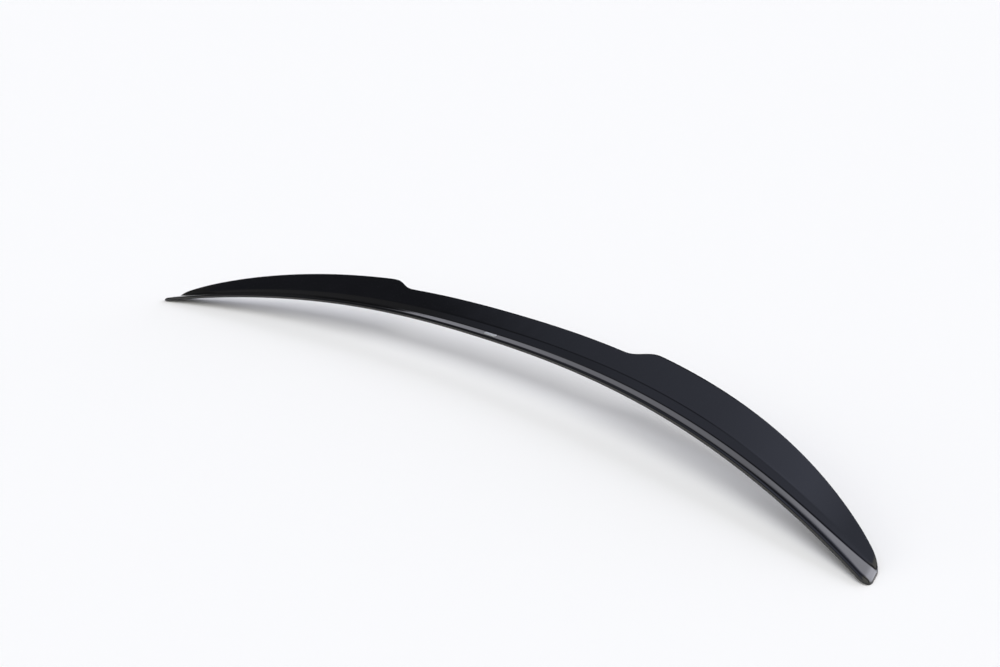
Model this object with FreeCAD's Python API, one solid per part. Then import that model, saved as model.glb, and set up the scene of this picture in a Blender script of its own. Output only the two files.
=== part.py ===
import FreeCAD
import Part
import math
import os

# Spoiler extension: a thin moulded lip for the rear edge of a car's trunk lid, stuck on with foam tape.
# +X is the car's left, +Y its rear and +Z up, and the part is a mirror image of itself about X = 0.
# The origin is the middle of the front tape's bonding face. Lengths are in mm, angles in degrees.

# Outline, seen from above and from behind
half_span = 600.0
plan_bow = 138.0  # the ends of the leading edge lie this far ahead of its middle
plan_power = 2.13  # above 2 the leading edge is straighter in the middle
crown_drop = 45.0  # the ends lie this far below the middle
crown_power = 2.7
corner_radius = 15.0  # plan rounding of the front corners
end_straight = 8.5  # straight length of the end edges behind the front corners
end_round = 9.0  # the end edges are rounded over this length of the span
end_rake = 14.5  # the end edges lean inboard towards the rear
rake_power = 8  # the lean sets in only near the ends

# Section, from the leading edge to the rear
wall = 4.0
edge_round = 4.2  # depth of the rounded front edge
edge_flat = 1.0  # height of the square part below the rounding
strip_width = 11.0  # level strip behind the rounded edge
flare_power = 18  # how late the strip widens towards the end edges
band_width = 14.8
band_slope = 14.7
blade_slope = 27.4
bend_length = 2.4  # each bend of the skin is rounded over this length on both sides
trailing_round = 2.2  # the same at the trailing edge
rear_lean = 12.0  # the rear skin leans forward on its way down
skirt_drop = 5.0  # the rear skin's lower edge lies this far below the flange

# Blade, along the span
blade_mid = 30.9  # length up the slope over the middle recess
blade_outer = 46.6  # length outboard of the recess, before it tapers
recess_half_width = 196.0
recess_step = 41.0  # length along the span over which the recess steps up
tip_power = 3.4  # how late the blade tapers towards the ends
tip_share = 0.05  # share of the blade that is left at the very end
end_edge_share = 0.3  # share of the height that is left square at the end edges

# Hollow underneath
hollow_end_inset = 16.0  # the hollow ends this far from the ends of the span
hollow_fade = 44.0  # and closes over this length
groove_depth = 0.5  # what is left of it outboard of that

# Foam tape
tape_thickness = 1.0
tape_seat_gap = 0.05
front_tape_inset = 3.0  # from the leading edge
front_tape_margin = 2.2  # to the rear end of the flange's strip
front_tape_end_inset = 30.0
rear_tape_rise = 1.5  # above the lower edge of the rear skin
rear_tape_width = 8.0
rear_tape_end_inset = 100.0

# Blank badge on the strip at mid-span
badge_length = 20.0
badge_margin = 2.3  # strip that shows on both sides of it
badge_height = 1.2
badge_corner = 2.4
badge_dome = 0.7
fillet_limit = 0.4  # a fillet takes at most this share of the badge's width or height

# Sections and faces
section_step = 10.0
corner_sections = 8
corner_angles = (0, 30, 60, 90)  # where the rounded front edge has its control points
bend_share = 0.3  # a rounded bend takes at most this share of the sides it joins
degree = 3
sew_tolerance = 1e-4

flange_height = tape_thickness + wall
front_tape_width = edge_round + strip_width - front_tape_inset - front_tape_margin
seat_middle = front_tape_inset + front_tape_width / 2


def toward(start, angle, length):
    """Point at a length from start, rising at an angle towards the rear."""
    turn = math.radians(angle)
    return (start[0] + length * math.cos(turn), start[1] + length * math.sin(turn))


def between(start, end, share):
    return tuple(a + (b - a) * share for a, b in zip(start, end))


def thirds(start, end):
    """Two points that part a straight side in three."""
    return [between(start, end, 1 / 3), between(start, end, 2 / 3)]


def smooth_step(value):
    value = min(max(value, 0.0), 1.0)
    return value * value * (3 - 2 * value)


def taper(x):
    """Share of the blade's full length that is left at x."""
    return math.sqrt(1 - (1 - tip_share**2) * (abs(x) / half_span) ** tip_power)


def corner_setback(x):
    """How far the rounded front corner stands back from the leading edge's curve."""
    inside = max(abs(x) - (half_span - corner_radius), 0.0)
    return corner_radius - math.sqrt(max(corner_radius**2 - inside**2, 0.0))


def end_height(x):
    """Share of the section's height that the rounded end edge leaves at x."""
    inside = max(abs(x) - (half_span - end_round), 0.0) / end_round
    return end_edge_share + (1 - end_edge_share) * math.sqrt(max(1 - inside**2, 0.0))


def place(x, spot):
    """Point of the part for a spot (rearward, upward) in the section at x."""
    share = abs(x) / half_span
    lean = math.copysign(math.tan(math.radians(end_rake)) * share**rake_power * spot[0], x)
    rearward = spot[0] - plan_bow * share**plan_power - seat_middle
    upward = spot[1] - crown_drop * share**crown_power
    return FreeCAD.Vector(x - lean, rearward, upward)


def outer_bends(x):
    """Where the outer skin bends in the section at x: strip end, crease, trailing edge and foot."""
    left = taper(x)
    flare = (abs(x) / half_span) ** flare_power
    strip = strip_width + (corner_radius + end_straight - strip_width) * flare
    step = smooth_step((abs(x) - recess_half_width) / recess_step)
    blade = (blade_mid + (blade_outer - blade_mid) * step) * left
    strip_end = (edge_round + strip, flange_height)
    crease = toward(strip_end, band_slope, band_width * left)
    trailing = toward(crease, blade_slope, blade)
    foot_level = tape_thickness - skirt_drop * left
    foot = (trailing[0] - (trailing[1] - foot_level) * math.tan(math.radians(rear_lean)), foot_level)
    return strip_end, crease, trailing, foot


def hollow_bends(x):
    """The same bends on the inner skin, one wall further in."""
    strip_end, crease, trailing, foot = outer_bends(x)
    lean = math.tan(math.radians(rear_lean))
    slope = math.tan(math.radians(blade_slope))
    inner_strip = (strip_end[0] + wall * math.tan(math.radians(band_slope / 2)), tape_thickness)
    slant = wall / math.cos(math.radians((blade_slope - band_slope) / 2))
    inner_crease = toward(crease, (blade_slope + band_slope) / 2 - 90, slant)
    inner_foot = (foot[0] - wall * math.hypot(1, lean), foot[1])
    run = inner_foot[0] - inner_crease[0] + (inner_crease[1] - inner_foot[1]) * lean
    run = run / (1 - slope * lean)
    inner_trailing = (inner_crease[0] + run, inner_crease[1] + run * slope)
    return inner_strip, inner_crease, inner_trailing, inner_foot


def groove_bends(x):
    """The shallow groove that the hollow closes to at the ends."""
    foot = outer_bends(x)[3]
    end = foot[0] - wall
    start = (corner_setback(x) + edge_round + end) / 2
    top = tape_thickness + groove_depth
    return (start, tape_thickness), (start + groove_depth, top), (end - groove_depth, top), (end, foot[1])


def inner_bends(x):
    hollow_end = half_span - hollow_end_inset
    openness = smooth_step((hollow_end - abs(x)) / hollow_fade)
    return [between(shut, wide, openness) for shut, wide in zip(groove_bends(x), hollow_bends(x))]


def rounded(before, bend, after, length):
    """Control points that round a bend of a skin over a length on both sides of it."""

    def beside(other):
        side = math.dist(bend, other)
        return between(bend, other, length / max(side, length / bend_share))

    return [beside(before), bend, beside(after)]


def outer_skin(x):
    """Control points of the outer skin, from the underside of the front edge to the foot."""
    strip_end, crease, trailing, foot = outer_bends(x)
    setback = corner_setback(x)
    points = [(setback, tape_thickness)]
    for angle in corner_angles:
        turn = math.radians(angle)
        depth = setback + edge_round * (1 - math.cos(turn))
        points.append((depth, tape_thickness + edge_flat + (wall - edge_flat) * math.sin(turn)))
    strip_start = points[-1]
    points += thirds(strip_start, strip_end)
    points += rounded(strip_start, strip_end, crease, bend_length)
    points += rounded(strip_end, crease, trailing, bend_length)
    points += thirds(crease, trailing)
    points += rounded(crease, trailing, foot, trailing_round)
    points += thirds(trailing, foot)
    points.append(foot)
    return lowered(x, points)


def inner_skin(x):
    """Control points of the inner skin, from the foot to the end of the flange's underside."""
    strip_end, crease, trailing, foot = inner_bends(x)
    points = [foot]
    points += thirds(foot, trailing)
    points += rounded(foot, trailing, crease, bend_length)
    points += thirds(trailing, crease)
    points += rounded(trailing, crease, strip_end, bend_length)
    points.append(strip_end)
    return lowered(x, points)


def lowered(x, points):
    """The points of a section, drawn down to the underside where the end edge is rounded."""
    height = end_height(x)
    return [(spot[0], tape_thickness + (spot[1] - tape_thickness) * height) for spot in points]


def stations(reach):
    """Places of the sections along the span, closer together round the front corners."""
    corner_start = half_span - corner_radius
    straight = min(reach, corner_start)
    count = round(straight / section_step)
    side = [straight * index / count for index in range(1, count + 1)]
    if reach > corner_start:
        turns = [math.radians(90 * index / corner_sections) for index in range(1, corner_sections + 1)]
        side += [corner_start + corner_radius * math.sin(turn) for turn in turns]
    return [-x for x in reversed(side)] + [0.0] + side


def knot_counts(points, order):
    return [order + 1] + [1] * (points - order - 1) + [order + 1]


def knot_values(points, order):
    return [float(index) for index in range(points - order + 1)]


def skin_face(rows):
    """Smooth face that follows rows of control points, each row running along the span."""
    across, along = len(rows), len(rows[0])
    order = min(degree, across - 1)
    surface = Part.BSplineSurface()
    surface.buildFromPolesMultsKnots(
        rows,
        knot_counts(across, order),
        knot_counts(along, degree),
        knot_values(across, order),
        knot_values(along, degree),
        False,
        False,
        order,
        degree,
    )
    return surface.toShape()


def end_edge(points):
    """The end of such a face, as an edge."""
    order = min(degree, len(points) - 1)
    curve = Part.BSplineCurve()
    counts, values = knot_counts(len(points), order), knot_values(len(points), order)
    curve.buildFromPolesMultsKnots(points, counts, values, False, order)
    return curve.toShape()


def span_solid(sides, reach):
    """Solid whose section has the given sides, from -reach to reach along the span.

    Each side is a function that gives its control points at x, and ends where the next side starts.
    """
    places = stations(reach)
    faces = []
    for side in sides:
        sections = [[place(x, spot) for spot in side(x)] for x in places]
        faces.append(skin_face([list(row) for row in zip(*sections)]))
    for x in (places[0], places[-1]):
        edges = [end_edge([place(x, spot) for spot in side(x)]) for side in sides]
        faces.append(Part.Face(Part.Wire(edges)))
    skin = Part.makeCompound(faces)
    skin.sewShape(sew_tolerance)
    solid = Part.Solid(skin.Shells[0])
    if solid.Volume < 0:
        solid.reverse()
    return solid


def strip_solid(corners, reach):
    """Flat strip along the span, with its four corner spots at x given by a function."""

    def side(first):
        return lambda x: [corners(x)[first], corners(x)[(first + 1) % 4]]

    return span_solid([side(index) for index in range(4)], reach)


def spoiler_shell():
    """One-piece moulding, hollow and open underneath."""

    def foot_edge(x):
        return [outer_skin(x)[-1], inner_skin(x)[0]]

    def underside(x):
        return [inner_skin(x)[-1], outer_skin(x)[0]]

    return span_solid([outer_skin, foot_edge, inner_skin, underside], half_span)


def front_tape():
    """Foam tape under the front flange."""

    def corners(x):
        start, end = front_tape_inset, front_tape_inset + front_tape_width
        top = tape_thickness - tape_seat_gap
        return [(start, 0.0), (start, top), (end, top), (end, 0.0)]

    return strip_solid(corners, half_span - front_tape_end_inset)


def rear_tape():
    """Foam tape inside the lower edge of the rear skin."""

    def corners(x):
        trailing, foot = inner_bends(x)[2:]
        rise = math.degrees(math.atan2(trailing[1] - foot[1], trailing[0] - foot[0]))
        seat = toward(foot, rise + 90, tape_seat_gap)
        back_low = toward(seat, rise, rear_tape_rise)
        back_high = toward(back_low, rise, rear_tape_width)
        front_high = toward(back_high, rise + 90, tape_thickness)
        front_low = toward(back_low, rise + 90, tape_thickness)
        return [back_low, back_high, front_high, front_low]

    return strip_solid(corners, half_span - rear_tape_end_inset)


def blank_badge():
    """Plain domed badge that lies on the strip at mid-span."""
    width = strip_width - 2 * badge_margin
    middle = place(0.0, (edge_round + strip_width / 2, flange_height))
    plate = Part.makeBox(badge_length, width, badge_height)
    plate.translate(middle - FreeCAD.Vector(badge_length / 2, width / 2, 0))
    upright = [edge for edge in plate.Edges if edge.BoundBox.ZLength > badge_height / 2]
    plate = plate.makeFillet(min(badge_corner, width * fillet_limit), upright)
    rim = [edge for edge in plate.Edges if edge.BoundBox.ZMin > middle.z + badge_height / 2]
    return plate.makeFillet(min(badge_dome, badge_height * 2 * fillet_limit), rim)


pieces = {
    "spoiler_shell": spoiler_shell(),
    "front_tape": front_tape(),
    "rear_tape": rear_tape(),
    "blank_badge": blank_badge(),
}
os.makedirs("parts", exist_ok=True)
for name, shape in pieces.items():
    shape.exportStep(f"parts/{name}.step")
    box = shape.BoundBox
    print(f"{name}: valid {shape.isValid()}, {shape.Volume / 1000:.2f} cm3, {len(shape.Faces)} faces,", end=" ")
    print(f"X {box.XMin:.1f} to {box.XMax:.1f}, Y {box.YMin:.1f} to {box.YMax:.1f},", end=" ")
    print(f"Z {box.ZMin:.1f} to {box.ZMax:.1f}")
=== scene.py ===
# %% [markdown]
# # A lip spoiler for a trunk lid
#
# The real part is one thin moulding of gloss black ABS, about 1.2 m long. It is stuck on the rear edge
# of a trunk lid with foam tape, and it carries one small domed badge in the middle.
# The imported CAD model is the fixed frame: it says where each piece is and how large it is. So it is
# loaded first, and its box is kept to measure the finished pieces against at the end.

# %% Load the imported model
import math

import bmesh
import bpy
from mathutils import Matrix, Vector


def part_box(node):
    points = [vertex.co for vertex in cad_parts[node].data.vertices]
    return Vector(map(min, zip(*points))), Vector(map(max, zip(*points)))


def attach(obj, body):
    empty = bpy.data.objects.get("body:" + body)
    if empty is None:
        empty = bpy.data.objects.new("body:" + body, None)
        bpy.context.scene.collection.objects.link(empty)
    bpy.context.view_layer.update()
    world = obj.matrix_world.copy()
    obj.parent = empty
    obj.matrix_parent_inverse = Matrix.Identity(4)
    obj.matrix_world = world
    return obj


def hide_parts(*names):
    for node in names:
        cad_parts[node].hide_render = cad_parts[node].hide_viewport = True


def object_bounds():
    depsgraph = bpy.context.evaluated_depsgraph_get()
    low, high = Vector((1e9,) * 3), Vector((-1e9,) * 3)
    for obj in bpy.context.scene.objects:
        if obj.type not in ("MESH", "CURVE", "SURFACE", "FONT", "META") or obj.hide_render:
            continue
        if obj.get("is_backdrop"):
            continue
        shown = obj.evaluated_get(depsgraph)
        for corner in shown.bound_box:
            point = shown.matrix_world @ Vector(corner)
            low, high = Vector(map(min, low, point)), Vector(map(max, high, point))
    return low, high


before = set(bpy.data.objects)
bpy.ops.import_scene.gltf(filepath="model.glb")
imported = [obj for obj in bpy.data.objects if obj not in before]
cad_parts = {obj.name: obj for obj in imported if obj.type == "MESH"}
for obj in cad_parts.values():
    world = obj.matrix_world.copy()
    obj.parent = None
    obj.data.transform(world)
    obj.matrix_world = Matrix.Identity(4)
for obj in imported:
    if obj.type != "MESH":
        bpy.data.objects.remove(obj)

cad_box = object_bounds()
print("nodes:", sorted(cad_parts))
print("CAD box in metres:", [tuple(round(value, 4) for value in corner) for corner in cad_box])

# %% [markdown]
# ## The camera
#
# The photograph looks at the part from ahead of its left end, a little from above. Its edges were
# followed in the picture and a camera was fitted to them, which gave a 38.7 mm lens on a 36 mm sensor.
# A camera that is only aimed at the part by eye would show the bow and the crown at the wrong strength,
# because both look alike from one side. The turn is measured from a view along +Y.

# %% Camera
mm = 0.001
camera_turn = math.radians(45.74)
camera_tilt = math.radians(17.69)
camera_place = Vector((942.3, -899.0, 422.1)) * mm
camera_lens = 38.71  # in millimetres, as Blender has it

camera = bpy.data.objects.new("camera", bpy.data.cameras.new("camera"))
camera.data.lens = camera_lens
camera.location = camera_place
camera.rotation_euler = (math.radians(90) - camera_tilt, 0, camera_turn)
bpy.context.scene.collection.objects.link(camera)
bpy.context.scene.camera = camera
print("camera stands", round(camera_place.length, 3), "m from the part's origin")

# %% [markdown]
# ## Small tools
#
# Colours are written as sRGB hex values, as a paint program shows them. Blender's shaders work with
# linear light, so one function turns the first into the second.
# A second function adds a shader node. It sets the node's own settings, and fills each named input with
# either a fixed value or a link from another node.
# A third one starts an empty material, and a fourth turns a finished bmesh into an object. The object
# stays at the origin, and its mesh holds its place.

# %% Helpers
def to_linear(hex_colour):
    shares = [int(hex_colour[start:start + 2], 16) / 255 for start in (1, 3, 5)]
    light = []
    for share in shares:
        is_dark = share <= 0.04045
        light.append(share / 12.92 if is_dark else ((share + 0.055) / 1.055) ** 2.4)
    return (*light, 1.0)


def add_node(tree, kind, inputs=None, **settings):
    node = tree.nodes.new(kind)
    for name, value in settings.items():
        setattr(node, name, value)
    for name, value in (inputs or {}).items():
        if isinstance(value, bpy.types.NodeSocket):
            tree.links.new(value, node.inputs[name])
        else:
            node.inputs[name].default_value = value
    return node


def new_material(name):
    material = bpy.data.materials.new(name)
    material.use_nodes = True
    material.node_tree.nodes.clear()
    return material, material.node_tree


def make_object(shape, name):
    mesh = bpy.data.meshes.new(name)
    shape.to_mesh(mesh)
    shape.free()
    piece = bpy.data.objects.new(name, mesh)
    bpy.context.scene.collection.objects.link(piece)
    return piece


print("white in linear light:", to_linear("#ffffff")[:3])

# %% [markdown]
# ## Floor
#
# The part lies on a plain pale studio floor. It touches it with its two ends, because the middle is
# crowned. One large grid face is enough: the camera looks down on it all the way to the top of the
# picture, so no wall is needed behind the part.

# %% Floor
floor_half_width = 60.0
floor_shape = bmesh.new()
bmesh.ops.create_grid(floor_shape, x_segments=1, y_segments=1, size=floor_half_width)
bmesh.ops.translate(floor_shape, vec=(0, 0, cad_box[0].z), verts=floor_shape.verts[:])
floor = make_object(floor_shape, "floor")

floor_paint, tree = new_material("matt_white_floor_paint")
floor_shader = add_node(tree, "ShaderNodeBsdfDiffuse", {"Color": to_linear("#fafafa")})
add_node(tree, "ShaderNodeOutputMaterial", {"Surface": floor_shader.outputs["BSDF"]})
floor.data.materials.append(floor_paint)
floor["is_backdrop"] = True
print("floor lies at z =", round(cad_box[0].z, 4))

# %% [markdown]
# ## Light
#
# Black gloss plastic has hardly any colour of its own: what the eye sees on it is the room. So the room
# is drawn as the photograph shows it in the gloss. A pale wall stands behind the part and has a bright
# window on the right, which lights the strip at the near end. On the left the room is dark up to a
# ceiling of cool soft panels, so the far half of the blade is black. The blade and the band below it
# mirror two rows of these panels. The gap between the rows is the fine dark line along the crease, and
# the dark cornice between ceiling and wall is the one along the strip.
# A few lamps could do the same, but a room without objects in it keeps the floor evenly white, and
# nothing of it stands in the way of another view. All other walls are plain white, and a little warm, so
# that with the cool panels they light the floor in neutral white. The foot of every wall is as white as
# the floor, which hides the floor's far edge in low views.
# A direction is told by its turn, as for the camera, and by how far one looks across (X) and along (Y)
# for each metre up.

# %% Brightness of the walls, by turn
wall_white, plain_white, no_tint = (0.965, 0.975, 1.08), (1.015, 1.005, 0.955), (1.0, 1.0, 1.0)
tinted_turns = (-60, 50)  # the other walls are plain white
wall_levels = {
    -180: 1.2,
    -112: 1.2,
    -100: 0.08,
    -53: 0.08,
    -50.5: 0.95,
    -42: 0.73,
    -25: 1.05,
    -16: 2.2,
    -9: 2.2,
    0: 3.6,
    35: 3.6,
    55: 1.2,
    180: 1.2,
}
wall_top, ceiling_start = math.sin(math.radians(34)), math.sin(math.radians(36))
foot_end, wall_start = math.sin(math.radians(4)), math.sin(math.radians(6))
foot_white = (0.96, 0.96, 0.98, 1.0)
print("the window is", max(wall_levels.values()), "times as bright as a white wall in plain light")

# %% Brightness of the two rows of panels, by the way across
blade_row = {
    -1.2: 0.06,
    -0.98: 0.06,
    -0.92: 0.28,
    -0.73: 0.48,
    -0.6: 0.8,
    -0.46: 0.55,
    -0.2: 0.6,
    -0.05: 1.2,
    0.3: 1.4,
}
band_row = {
    -1.2: 0.15,
    -1.0: 0.17,
    -0.86: 0.27,
    -0.6: 0.35,
    -0.46: 0.46,
    -0.2: 0.6,
    -0.05: 1.2,
    0.3: 1.4,
}
panel_white = (0.9, 0.97, 1.27)
tinted_across = (-2, -0.19)  # to the right of it the ceiling is plain white
darkest = [min(row.values()) for row in (blade_row, band_row)]
print("the rows are as dark as", darkest, "at the far end")

# %% The gap between the rows and the dark cornice, by the way along
gap_shares = {0.0: 1.0, 0.07: 1.0, 0.17: 0.2, 0.22: 0.08, 0.27: 0.2, 0.38: 1.0, 0.42: 1.0}
gap_start, gap_end = -0.72, -0.6  # from the first to the second the rows grow together
band_row_start, band_row_end = 0.18, 0.26  # here the blade's row gives way to the band's
cornice_shares = {0.5: 1.0, 0.54: 1.0, 0.62: 0.18, 1.0: 0.18, 1.27: 1.0, 1.3: 1.0}
row_slant, slant_end = 0.27, -1.2  # on the left the rows turn away, up to this far across
light_left = [min(shares.values()) for shares in (gap_shares, cornice_shares)]
print("light left by the gap and by the cornice:", light_left)

# %% Directions in the room
world = bpy.data.worlds.new("studio_room")
world.use_nodes = True
tree = world.node_tree
tree.nodes.clear()
look = add_node(tree, "ShaderNodeTexCoord").outputs["Generated"]
parts = add_node(tree, "ShaderNodeSeparateXYZ", {"Vector": look}).outputs
angle = add_node(tree, "ShaderNodeMath", {0: parts["X"], 1: parts["Y"]}, operation="ARCTAN2")
turn = add_node(tree, "ShaderNodeMath", {0: angle.outputs[0]}, operation="DEGREES")
least_climb = 0.05  # keeps the two ways finite near the horizon
climb = add_node(tree, "ShaderNodeMath", {0: parts["Z"], 1: least_climb}, operation="MAXIMUM")
across = add_node(tree, "ShaderNodeMath", {0: parts["X"], 1: climb.outputs[0]}, operation="DIVIDE")
straight = add_node(tree, "ShaderNodeMath", {0: parts["Y"], 1: climb.outputs[0]}, operation="DIVIDE")
slant = add_node(
    tree,
    "ShaderNodeMapRange",
    {
        "Value": across.outputs[0],
        "From Min": slant_end,
        "From Max": 0.0,
        "To Min": slant_end * row_slant,
        "To Max": 0.0,
    },
)
along = add_node(tree, "ShaderNodeMath", {0: straight.outputs[0], 1: slant.outputs[0]}, operation="ADD")
is_ceiling = add_node(
    tree, "ShaderNodeMapRange", {"Value": parts["Z"], "From Min": wall_top, "From Max": ceiling_start}
)
is_foot = add_node(
    tree, "ShaderNodeMapRange", {"Value": parts["Z"], "From Min": wall_start, "From Max": foot_end}
)
is_band_row = add_node(
    tree,
    "ShaderNodeMapRange",
    {"Value": along.outputs[0], "From Min": band_row_start, "From Max": band_row_end},
)
has_gap = add_node(
    tree,
    "ShaderNodeMapRange",
    {"Value": across.outputs[0], "From Min": gap_end, "From Max": gap_start},
)
print("the directions take", len(tree.nodes), "nodes")

# %% Light from each direction
light = {"foot": foot_white}
everywhere = (-2, 2)  # wider than the tables of the gap and the cornice
for name, way, levels, white, tinted in (
    ("wall", turn, wall_levels, wall_white, tinted_turns),
    ("blade_row", across, blade_row, panel_white, tinted_across),
    ("band_row", across, band_row, panel_white, tinted_across),
    ("gap", along, gap_shares, no_tint, everywhere),
    ("cornice", along, cornice_shares, no_tint, everywhere),
):
    low, high = min(levels), max(levels)
    inputs = {"Value": way.outputs[0], "From Min": low, "From Max": high}
    share = add_node(tree, "ShaderNodeMapRange", inputs)
    ramp = add_node(tree, "ShaderNodeValToRGB", {"Fac": share.outputs["Result"]})
    stops = ramp.color_ramp.elements
    stops.remove(stops[1])
    for spot, level in levels.items():
        stop = stops[0] if spot == low else stops.new((spot - low) / (high - low))
        hue = white if tinted[0] < spot < tinted[1] else plain_white
        stop.color = (*[level * part for part in hue], 1.0)
    light[name] = ramp.outputs["Color"]

for name, first, second, share, blend in (
    ("rows", "blade_row", "band_row", is_band_row.outputs["Result"], "MIX"),
    ("ceiling", "rows", "gap", has_gap.outputs["Result"], "MULTIPLY"),
    ("sides", "wall", "ceiling", is_ceiling.outputs["Result"], "MIX"),
    ("upper_room", "sides", "cornice", 1.0, "MULTIPLY"),
    ("room", "upper_room", "foot", is_foot.outputs["Result"], "MIX"),
):
    inputs = {"Factor": share, "A": light[first], "B": light[second]}
    mix = add_node(tree, "ShaderNodeMix", inputs, data_type="RGBA", blend_type=blend)
    light[name] = mix.outputs["Result"]
glow = add_node(tree, "ShaderNodeBackground", {"Color": light["room"], "Strength": 1.0})
add_node(tree, "ShaderNodeOutputWorld", {"Surface": glow.outputs["Background"]})
bpy.context.scene.world = world
bpy.context.scene.view_settings.view_transform = "Standard"
print("the room is made of", len(tree.nodes), "nodes")

# %% [markdown]
# ## Gloss black ABS
#
# The moulding is injection moulded ABS, coloured black through and through, from a polished mould. The
# eye gets a deep black with sharp reflections that are a little soft and wavy, because a moulded skin is
# never quite flat: it sinks by hundredths of a millimetre, and it has the fine orange peel of plastic.
# A mirror-smooth shader looks like glass, so two bumps are laid over each other, and the roughness
# drifts a little as it does where hands have wiped the part.
# The peel of the real part is about 1 mm wide. That is under a pixel here, so it is drawn 4 mm wide.

# %% Material of the outer skin
def pattern_scale(width_in_mm):
    return 1 / (width_in_mm * mm)


abs_ior = 1.53
noise_low, noise_high = 0.3, 0.7  # most of a noise pattern lies between these
gloss_abs, tree = new_material("gloss_black_abs")
spot = add_node(tree, "ShaderNodeTexCoord").outputs["Object"]
wiped = add_node(
    tree, "ShaderNodeTexNoise", {"Vector": spot, "Scale": pattern_scale(35), "Detail": 4.0}
)
haze = add_node(
    tree,
    "ShaderNodeMapRange",
    {
        "Value": wiped.outputs["Fac"],
        "From Min": noise_low,
        "From Max": noise_high,
        "To Min": 0.05,
        "To Max": 0.09,
    },
)
tint = add_node(
    tree,
    "ShaderNodeMix",
    {"Factor": wiped.outputs["Fac"], "A": to_linear("#090909"), "B": to_linear("#0d0d0f")},
    data_type="RGBA",
)
sink = add_node(tree, "ShaderNodeTexNoise", {"Vector": spot, "Scale": pattern_scale(40), "Detail": 1.0})
peel = add_node(tree, "ShaderNodeTexNoise", {"Vector": spot, "Scale": pattern_scale(4), "Detail": 1.0})
sink_bump = add_node(
    tree, "ShaderNodeBump", {"Height": sink.outputs["Fac"], "Distance": 0.06 * mm}
)
peel_bump = add_node(
    tree,
    "ShaderNodeBump",
    {"Height": peel.outputs["Fac"], "Distance": 0.003 * mm, "Normal": sink_bump.outputs["Normal"]},
)
skin = add_node(
    tree,
    "ShaderNodeBsdfPrincipled",
    {
        "Base Color": tint.outputs["Result"],
        "Roughness": haze.outputs["Result"],
        "Normal": peel_bump.outputs["Normal"],
        "IOR": abs_ior,
    },
)
add_node(tree, "ShaderNodeOutputMaterial", {"Surface": skin.outputs["BSDF"]})
print(gloss_abs.name, "has", len(tree.nodes), "nodes")

# %% [markdown]
# ## Matt back of the moulding
#
# The inside of such a moulding comes from the mould's other half, which is spark eroded and not
# polished. It is the same black plastic with a fine dull grain, and it looks dark grey because it
# scatters light. Its grey is painted a little lighter on the raised grain and darker in its dips, as
# painted shade. The grain is a few tenths of a millimetre wide and is drawn 1 mm wide to show at all.

# %% Material of the inner skin
matt_abs, tree = new_material("matt_black_abs")
spot = add_node(tree, "ShaderNodeTexCoord").outputs["Object"]
grain = add_node(tree, "ShaderNodeTexNoise", {"Vector": spot, "Scale": pattern_scale(1), "Detail": 2.0})
dull = add_node(
    tree,
    "ShaderNodeMapRange",
    {
        "Value": grain.outputs["Fac"],
        "From Min": noise_low,
        "From Max": noise_high,
        "To Min": 0.5,
        "To Max": 0.68,
    },
)
grain_bump = add_node(
    tree, "ShaderNodeBump", {"Height": grain.outputs["Fac"], "Distance": 0.05 * mm, "Strength": 0.6}
)
# painted shade: the grey is darker in the dips of the grain bump and lighter on its tops
grain_grey_and_dip_shade = add_node(
    tree,
    "ShaderNodeMix",
    {"Factor": grain.outputs["Fac"], "A": to_linear("#101113"), "B": to_linear("#1b1c1e")},
    data_type="RGBA",
)
back = add_node(
    tree,
    "ShaderNodeBsdfPrincipled",
    {
        "Base Color": grain_grey_and_dip_shade.outputs["Result"],
        "Roughness": dull.outputs["Result"],
        "Normal": grain_bump.outputs["Normal"],
        "IOR": abs_ior,
    },
)
add_node(tree, "ShaderNodeOutputMaterial", {"Surface": back.outputs["BSDF"]})
print(matt_abs.name, "has", len(tree.nodes), "nodes")

# %% [markdown]
# ## The section of the moulding
#
# Cut across, the moulding is a thin hook. From the front it has a rounded edge, a level strip, a gently
# rising band, a crease, and the blade that rises to the trailing edge. There it turns down into the rear
# skin, whose foot hangs a little lower than the strip. The inside follows one wall thickness further in.
# Every section has the same points in the same order, which is what lets one section be drawn into the
# next. Only their places change along the span: the blade is shorter over the middle recess, and all but
# the strip tapers towards the ends.
# Sizes are in millimetres and are those of the CAD model. Only the sink of the front edge is added here:
# near the ends the front of the strip falls by a fifth of a millimetre, so that the light on it fades.
# A spot in a section is a pair: rearward, upward.

# %% Sizes of the moulding
half_span = 600.0
plan_bow, plan_power = 138.0, 2.13  # how far the ends lie ahead of the middle, and how late it sets in
crown_drop, crown_power = 45.0, 2.7  # the same for how far they lie below it
corner_radius, end_straight = 15.0, 8.5  # the end edges: rounded in front, then straight
end_round, end_edge_share = 9.0, 0.3
end_rake, rake_power = math.radians(14.5), 8
wall, tape_thickness = 4.0, 1.0
edge_round, edge_flat = 4.2, 1.0
strip_width, flare_power = 11.0, 18  # the strip widens to the end edges' length, but only close to them
band_width, band_slope, blade_slope = 14.8, math.radians(14.7), math.radians(27.4)
blade_mid, blade_outer = 30.9, 46.6
recess_half_width, recess_step = 196.0, 41.0
tip_power, tip_share = 3.4, 0.05
rear_lean, skirt_drop = math.radians(12.0), 5.0
hollow_end_inset, hollow_fade, groove_depth = 16.0, 44.0, 0.5
bend_length, trailing_round = 2.4, 2.2
bend_share = 0.3  # a bend takes up at most this share of the flat beside it
edge_sink, sink_start, sink_length = 0.18, 380.0, 120.0  # near the ends the front edge is softer
flange_height = tape_thickness + wall
seat_middle = 8.0  # from the leading edge to the middle of the front tape
middle_length = edge_round + strip_width + band_width + blade_mid
print("the section at mid-span is about", round(middle_length), "mm long")

# %% Bends of the outer and the inner skin
def toward(start, angle, length):
    return (start[0] + length * math.cos(angle), start[1] + length * math.sin(angle))


def between(start, end, share):
    return tuple(a + (b - a) * share for a, b in zip(start, end))


def smooth_step(value):
    value = min(max(value, 0.0), 1.0)
    return value * value * (3 - 2 * value)


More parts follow.
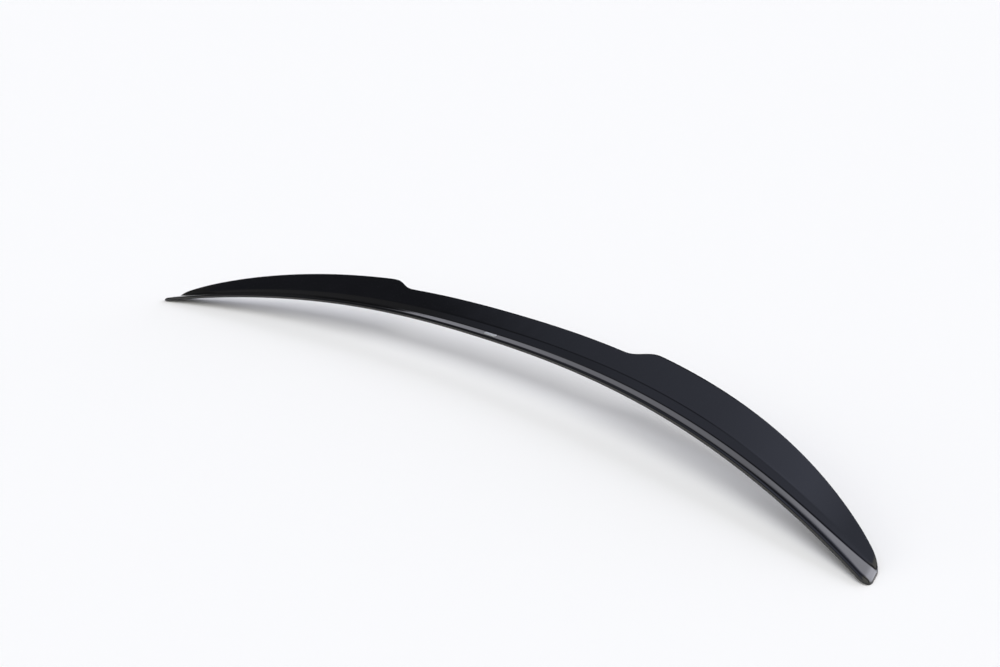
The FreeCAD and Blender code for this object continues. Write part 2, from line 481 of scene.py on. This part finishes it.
def outer_bends(x):
    left = math.sqrt(1 - (1 - tip_share**2) * (x / half_span) ** tip_power)
    strip = strip_width + (corner_radius + end_straight - strip_width) * (x / half_span) ** flare_power
    step = smooth_step((x - recess_half_width) / recess_step)
    blade = (blade_mid + (blade_outer - blade_mid) * step) * left
    strip_end = (edge_round + strip, flange_height)
    crease = toward(strip_end, band_slope, band_width * left)
    trailing = toward(crease, blade_slope, blade)
    foot_level = tape_thickness - skirt_drop * left
    foot = (trailing[0] - (trailing[1] - foot_level) * math.tan(rear_lean), foot_level)
    return strip_end, crease, trailing, foot


def corner_setback(x):
    inside = max(x - (half_span - corner_radius), 0.0)
    return corner_radius - math.sqrt(max(corner_radius**2 - inside**2, 0.0))


def inner_bends(x):
    strip_end, crease, trailing, foot = outer_bends(x)
    inner_strip = (strip_end[0] + wall * math.tan(band_slope / 2), tape_thickness)
    slant = wall / math.cos((blade_slope - band_slope) / 2)
    inner_crease = toward(crease, (blade_slope + band_slope) / 2 - math.pi / 2, slant)
    inner_foot = (foot[0] - wall / math.cos(rear_lean), foot[1])
    lean, slope = math.tan(rear_lean), math.tan(blade_slope)
    run = inner_foot[0] - inner_crease[0] + (inner_crease[1] - inner_foot[1]) * lean
    run /= 1 - slope * lean
    inner_trailing = (inner_crease[0] + run, inner_crease[1] + run * slope)
    hollow = (inner_strip, inner_crease, inner_trailing, inner_foot)
    end = foot[0] - wall
    start = (corner_setback(x) + edge_round + end) / 2
    top = tape_thickness + groove_depth
    start_top, end_top = (start + groove_depth, top), (end - groove_depth, top)
    groove = ((start, tape_thickness), start_top, end_top, (end, foot[1]))
    openness = smooth_step((half_span - hollow_end_inset - x) / hollow_fade)
    return [between(shut, wide, openness) for shut, wide in zip(groove, hollow)]


print("trailing edge at mid-span:", [round(value, 1) for value in outer_bends(0.0)[2]])
beside_recess = outer_bends(recess_half_width + recess_step)[2]
print("trailing edge beside the recess:", [round(value, 1) for value in beside_recess])

# %% [markdown]
# ## The moulding as a subdivided cage
#
# A smooth moulding could be sculpted, or lofted from many fine sections. A coarse cage under a
# Subdivision Surface is better here: it gives even, flowing reflections, and a bend is as tight as its
# cage points lie close together. So each bend gets three points close together, and each flat two.
# The cage starts as the ring of the middle section. Its edges are extruded towards the left end section
# by section, each new ring is moved to its own places, and the last ring is closed. The other half is
# its mirror image.
# Edges that are sharp on the real part, where the moulding was trimmed, are creased.

# %% Points of one section
def rounded(before, bend, after, length):
    spots = [bend]
    for index, other in ((0, before), (2, after)):
        share = min(length / math.dist(bend, other), bend_share)
        spots.insert(index, between(bend, other, share))
    return spots


def thirds(start, end):
    return [between(start, end, 1 / 3), between(start, end, 2 / 3)]


def outer_skin(x):
    strip_end, crease, trailing, foot = outer_bends(x)
    setback = corner_setback(x)
    sink = edge_sink * smooth_step((x - sink_start) / sink_length)
    spots = [(setback, tape_thickness)]
    for turn in (math.radians(angle) for angle in (0, 30, 60, 90)):
        depth = setback + edge_round * (1 - math.cos(turn))
        height = edge_flat + (wall - edge_flat) * math.sin(turn)
        spots.append((depth, tape_thickness + height - sink * math.sin(turn)))
    strip_start = (setback + edge_round, flange_height)
    near, far = thirds(strip_start, strip_end)
    spots += [(near[0], near[1] - sink / 4), far]
    spots += rounded(strip_start, strip_end, crease, bend_length)
    spots += rounded(strip_end, crease, trailing, bend_length) + thirds(crease, trailing)
    spots += rounded(crease, trailing, foot, trailing_round) + thirds(trailing, foot)
    return spots + [foot]


def inner_skin(x):
    strip_end, crease, trailing, foot = inner_bends(x)
    spots = [foot] + thirds(foot, trailing) + rounded(foot, trailing, crease, bend_length)
    spots += thirds(trailing, crease) + rounded(trailing, crease, strip_end, bend_length)
    return spots + [strip_end]


def section(x):
    inside = max(x - (half_span - end_round), 0.0) / end_round
    height = end_edge_share + (1 - end_edge_share) * math.sqrt(max(1 - inside**2, 0.0))
    share = x / half_span
    places = []
    for rearward, upward in outer_skin(x) + inner_skin(x):
        lean = math.tan(end_rake) * share**rake_power * rearward
        back = rearward - plan_bow * share**plan_power - seat_middle
        rise = tape_thickness + (upward - tape_thickness) * height - crown_drop * share**crown_power
        places.append(Vector((x - lean, back, rise)) * mm)
    return places


outer_count, inner_count = len(outer_skin(0.0)), len(inner_skin(0.0))
print("a section has", outer_count, "outer and", inner_count, "inner points")

# %% Extrude the cage along the left half
def loop_edges(shape, ring):
    return [shape.edges.get(pair) for pair in zip(ring, ring[1:] + ring[:1])]


def extruded(shape, ring):
    made = bmesh.ops.extrude_edge_only(shape, edges=loop_edges(shape, ring))
    new = {item for item in made["geom"] if isinstance(item, bmesh.types.BMVert)}
    new_ring = []
    for vert in ring:
        neighbours = [edge.other_vert(vert) for edge in vert.link_edges]
        new_ring.append(next(other for other in neighbours if other in new))
    return new_ring


corner_start = half_span - corner_radius
straight_count, corner_count = 58, 8
stations = [corner_start * index / straight_count for index in range(straight_count + 1)]
for index in range(1, corner_count + 1):
    stations.append(corner_start + corner_radius * math.sin(math.pi / 2 * index / corner_count))

shell_shape = bmesh.new()
crease_of = shell_shape.edges.layers.float.new("crease_edge")
full_crease = 1.0
ring = [shell_shape.verts.new(spot) for spot in section(stations[0])]
for pair in zip(ring, ring[1:] + ring[:1]):
    shell_shape.edges.new(pair)
rings = [ring]
for x in stations[1:]:
    rings.append(extruded(shell_shape, rings[-1]))
    for vert, spot in zip(rings[-1], section(x)):
        vert.co = spot
print("the half cage has", len(rings), "rings and", len(shell_shape.faces), "faces")

# %% Sort the faces, crease the trimmed edges, close the end and mirror the half
row_of = {vert: row for ring in rings for row, vert in enumerate(ring)}
for face in shell_shape.faces:
    face.material_index = int(any(row_of[vert] >= outer_count for vert in face.verts))
trimmed_rows = (0, outer_count - 1, outer_count, outer_count + inner_count - 1)
for row in trimmed_rows:
    for near, far in zip(rings, rings[1:]):
        shell_shape.edges.get((near[row], far[row]))[crease_of] = full_crease
for edge in loop_edges(shell_shape, rings[-1]):
    edge[crease_of] = full_crease
cap = bmesh.ops.edgeloop_fill(shell_shape, edges=loop_edges(shell_shape, rings[-1]), mat_nr=0)
bmesh.ops.triangulate(shell_shape, faces=cap["faces"])
half = shell_shape.verts[:] + shell_shape.edges[:] + shell_shape.faces[:]
bmesh.ops.mirror(shell_shape, geom=half, axis="X", merge_dist=0.01 * mm)
bmesh.ops.recalc_face_normals(shell_shape, faces=shell_shape.faces[:])
# Extruding leaves the order of the elements to chance. Sorted by place, each run gives the same mesh.
for items, place in (
    (shell_shape.verts, lambda vert: vert.co),
    (shell_shape.edges, lambda edge: edge.verts[0].co + edge.verts[1].co),
    (shell_shape.faces, lambda face: face.calc_center_median()),
):
    in_order = sorted(items, key=lambda item: tuple(place(item)))
    rank = {item: number for number, item in enumerate(in_order)}
    items.sort(key=lambda item: rank[item])
for face in shell_shape.faces:
    face.smooth = True
for edge in shell_shape.edges:
    edge.smooth = edge[crease_of] < full_crease / 2
open_edges = sum(not edge.is_manifold for edge in shell_shape.edges)
print("the whole cage has", len(shell_shape.faces), "faces and", open_edges, "open edges")

# %% Make the moulding
shell = make_object(shell_shape, "lip_moulding")
shell.data.materials.append(gloss_abs)
shell.data.materials.append(matt_abs)
smooth_levels = 2
smoothing = shell.modifiers.new("smoothing", "SUBSURF")
smoothing.levels = smooth_levels
smoothing.render_levels = smooth_levels
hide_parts("spoiler_shell")
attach(shell, "root")
cage_count = len(shell.data.polygons)
print("moulding:", cage_count, "cage faces, about", cage_count * 4**smooth_levels, "after smoothing")

# %% [markdown]
# ## Foam tape
#
# Two strips of acrylic foam tape hold the part, one under the front strip and one inside the rear skin.
# Their CAD shapes are right, so they stay and only get a finish: a dull dark grey with the pores of a
# closed-cell foam. The grey is painted darker in the pores, as painted shade in them. The pores are
# drawn 0.8 mm wide, about three times their real size.

# %% Foam tape
foam, tree = new_material("closed_cell_foam_tape")
spot = add_node(tree, "ShaderNodeTexCoord").outputs["Object"]
pores = add_node(tree, "ShaderNodeTexVoronoi", {"Vector": spot, "Scale": pattern_scale(0.8)})
foam_bump = add_node(
    tree, "ShaderNodeBump", {"Height": pores.outputs["Distance"], "Distance": 0.15 * mm, "Strength": 0.7}
)
# painted shade: the grey is darkest at the middle of each pore dent, where the bump is lowest
foam_grey_and_pore_shade = add_node(
    tree,
    "ShaderNodeMix",
    {"Factor": pores.outputs["Distance"], "A": to_linear("#3a3b3d"), "B": to_linear("#4a4b4d")},
    data_type="RGBA",
)
foam_shader = add_node(
    tree,
    "ShaderNodeBsdfPrincipled",
    {
        "Base Color": foam_grey_and_pore_shade.outputs["Result"],
        "Roughness": 0.9,
        "Normal": foam_bump.outputs["Normal"],
        "IOR": 1.47,
    },
)
add_node(tree, "ShaderNodeOutputMaterial", {"Surface": foam_shader.outputs["BSDF"]})
for node in ("front_tape", "rear_tape"):
    tape = bpy.data.objects[node]
    for slot in tape.material_slots:
        slot.material = foam
    print(node, "has", len(tape.data.polygons), "faces and", len(tape.material_slots), "material slot")

# %% [markdown]
# ## Blank badge
#
# The badge is a silver foil with a clear resin poured on it, which sets in a low dome. The resin gives a
# sharp highlight over the softer sheen of the foil. It carries no mark.
# A scaled cube is bevelled on its upright edges and its top is inset again and again, a little higher
# each time, as resin rises steeply at its rim and then flattens out.

# %% Shape of the badge
badge_low, badge_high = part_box("blank_badge")
badge_size = badge_high - badge_low
badge_shape = bmesh.new()
bmesh.ops.create_cube(badge_shape, size=1.0)
rim_height, corner_round, corner_segments = 0.5 * mm, 2.4 * mm, 8
bmesh.ops.scale(badge_shape, vec=(badge_size.x, badge_size.y, rim_height), verts=badge_shape.verts[:])
middle = (badge_low + badge_high) / 2
bmesh.ops.translate(
    badge_shape, vec=(middle.x, middle.y, badge_low.z + rim_height / 2), verts=badge_shape.verts[:]
)
upright = []
for edge in badge_shape.edges:
    low_end, high_end = edge.verts
    if abs(low_end.co.z - high_end.co.z) > rim_height / 2:
        upright.append(edge)
bmesh.ops.bevel(
    badge_shape,
    geom=upright,
    offset=corner_round,
    segments=corner_segments,
    profile=0.5,
    affect="EDGES",
    material=-1,
)
top = max(badge_shape.faces, key=lambda face: face.calc_center_median().z)
dome_steps = ((0.08, 0.2), (0.14, 0.18), (0.24, 0.14), (0.4, 0.09), (0.6, 0.05), (0.8, 0.03))
for inward, upward in dome_steps:  # in millimetres
    bmesh.ops.inset_region(
        badge_shape, faces=[top], thickness=inward * mm, depth=upward * mm, use_even_offset=True
    )
bmesh.ops.recalc_face_normals(badge_shape, faces=badge_shape.faces[:])
for face in badge_shape.faces:
    face.smooth = face.calc_center_median().z > badge_low.z + rim_height
badge_sizes = [round(value / mm, 2) for value in badge_size]
print("badge is", badge_sizes, "mm, of", len(badge_shape.faces), "faces")

# %% Material of the badge
foil, tree = new_material("silver_foil_under_resin")
spot = add_node(tree, "ShaderNodeTexCoord").outputs["Object"]
lines = add_node(
    tree,
    "ShaderNodeMapping",
    {"Vector": spot, "Scale": (pattern_scale(12), pattern_scale(0.4), pattern_scale(4))},
)
brushed = add_node(
    tree, "ShaderNodeTexNoise", {"Vector": lines.outputs["Vector"], "Scale": 1.0, "Detail": 2.0}
)
sheen = add_node(
    tree,
    "ShaderNodeMapRange",
    {
        "Value": brushed.outputs["Fac"],
        "From Min": noise_low,
        "From Max": noise_high,
        "To Min": 0.28,
        "To Max": 0.42,
    },
)
silver = add_node(
    tree,
    "ShaderNodeMix",
    {"Factor": brushed.outputs["Fac"], "A": to_linear("#b9bcc1"), "B": to_linear("#d6d8db")},
    data_type="RGBA",
)
foil_shader = add_node(
    tree,
    "ShaderNodeBsdfPrincipled",
    {
        "Base Color": silver.outputs["Result"],
        "Metallic": 0.85,
        "Roughness": sheen.outputs["Result"],
        "Coat Weight": 1.0,
        "Coat Roughness": 0.03,
    },
)
add_node(tree, "ShaderNodeOutputMaterial", {"Surface": foil_shader.outputs["BSDF"]})
badge = make_object(badge_shape, "blank_domed_badge")
badge.data.materials.append(foil)
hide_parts("blank_badge")
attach(badge, "root")
print(badge.name, "replaces the CAD badge")

# %% [markdown]
# ## Compare the sizes
#
# The looks must not change the size. The box of the finished pieces is written next to the CAD box, so
# that the two can be compared after each render.

# %% Measure and finish
seen_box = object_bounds()
for name, cad_corner, seen_corner in zip(("low", "high"), cad_box, seen_box):
    moved = (seen_corner - cad_corner) / mm
    print(name, "corner moved by", [round(value, 2) for value in moved], "mm")
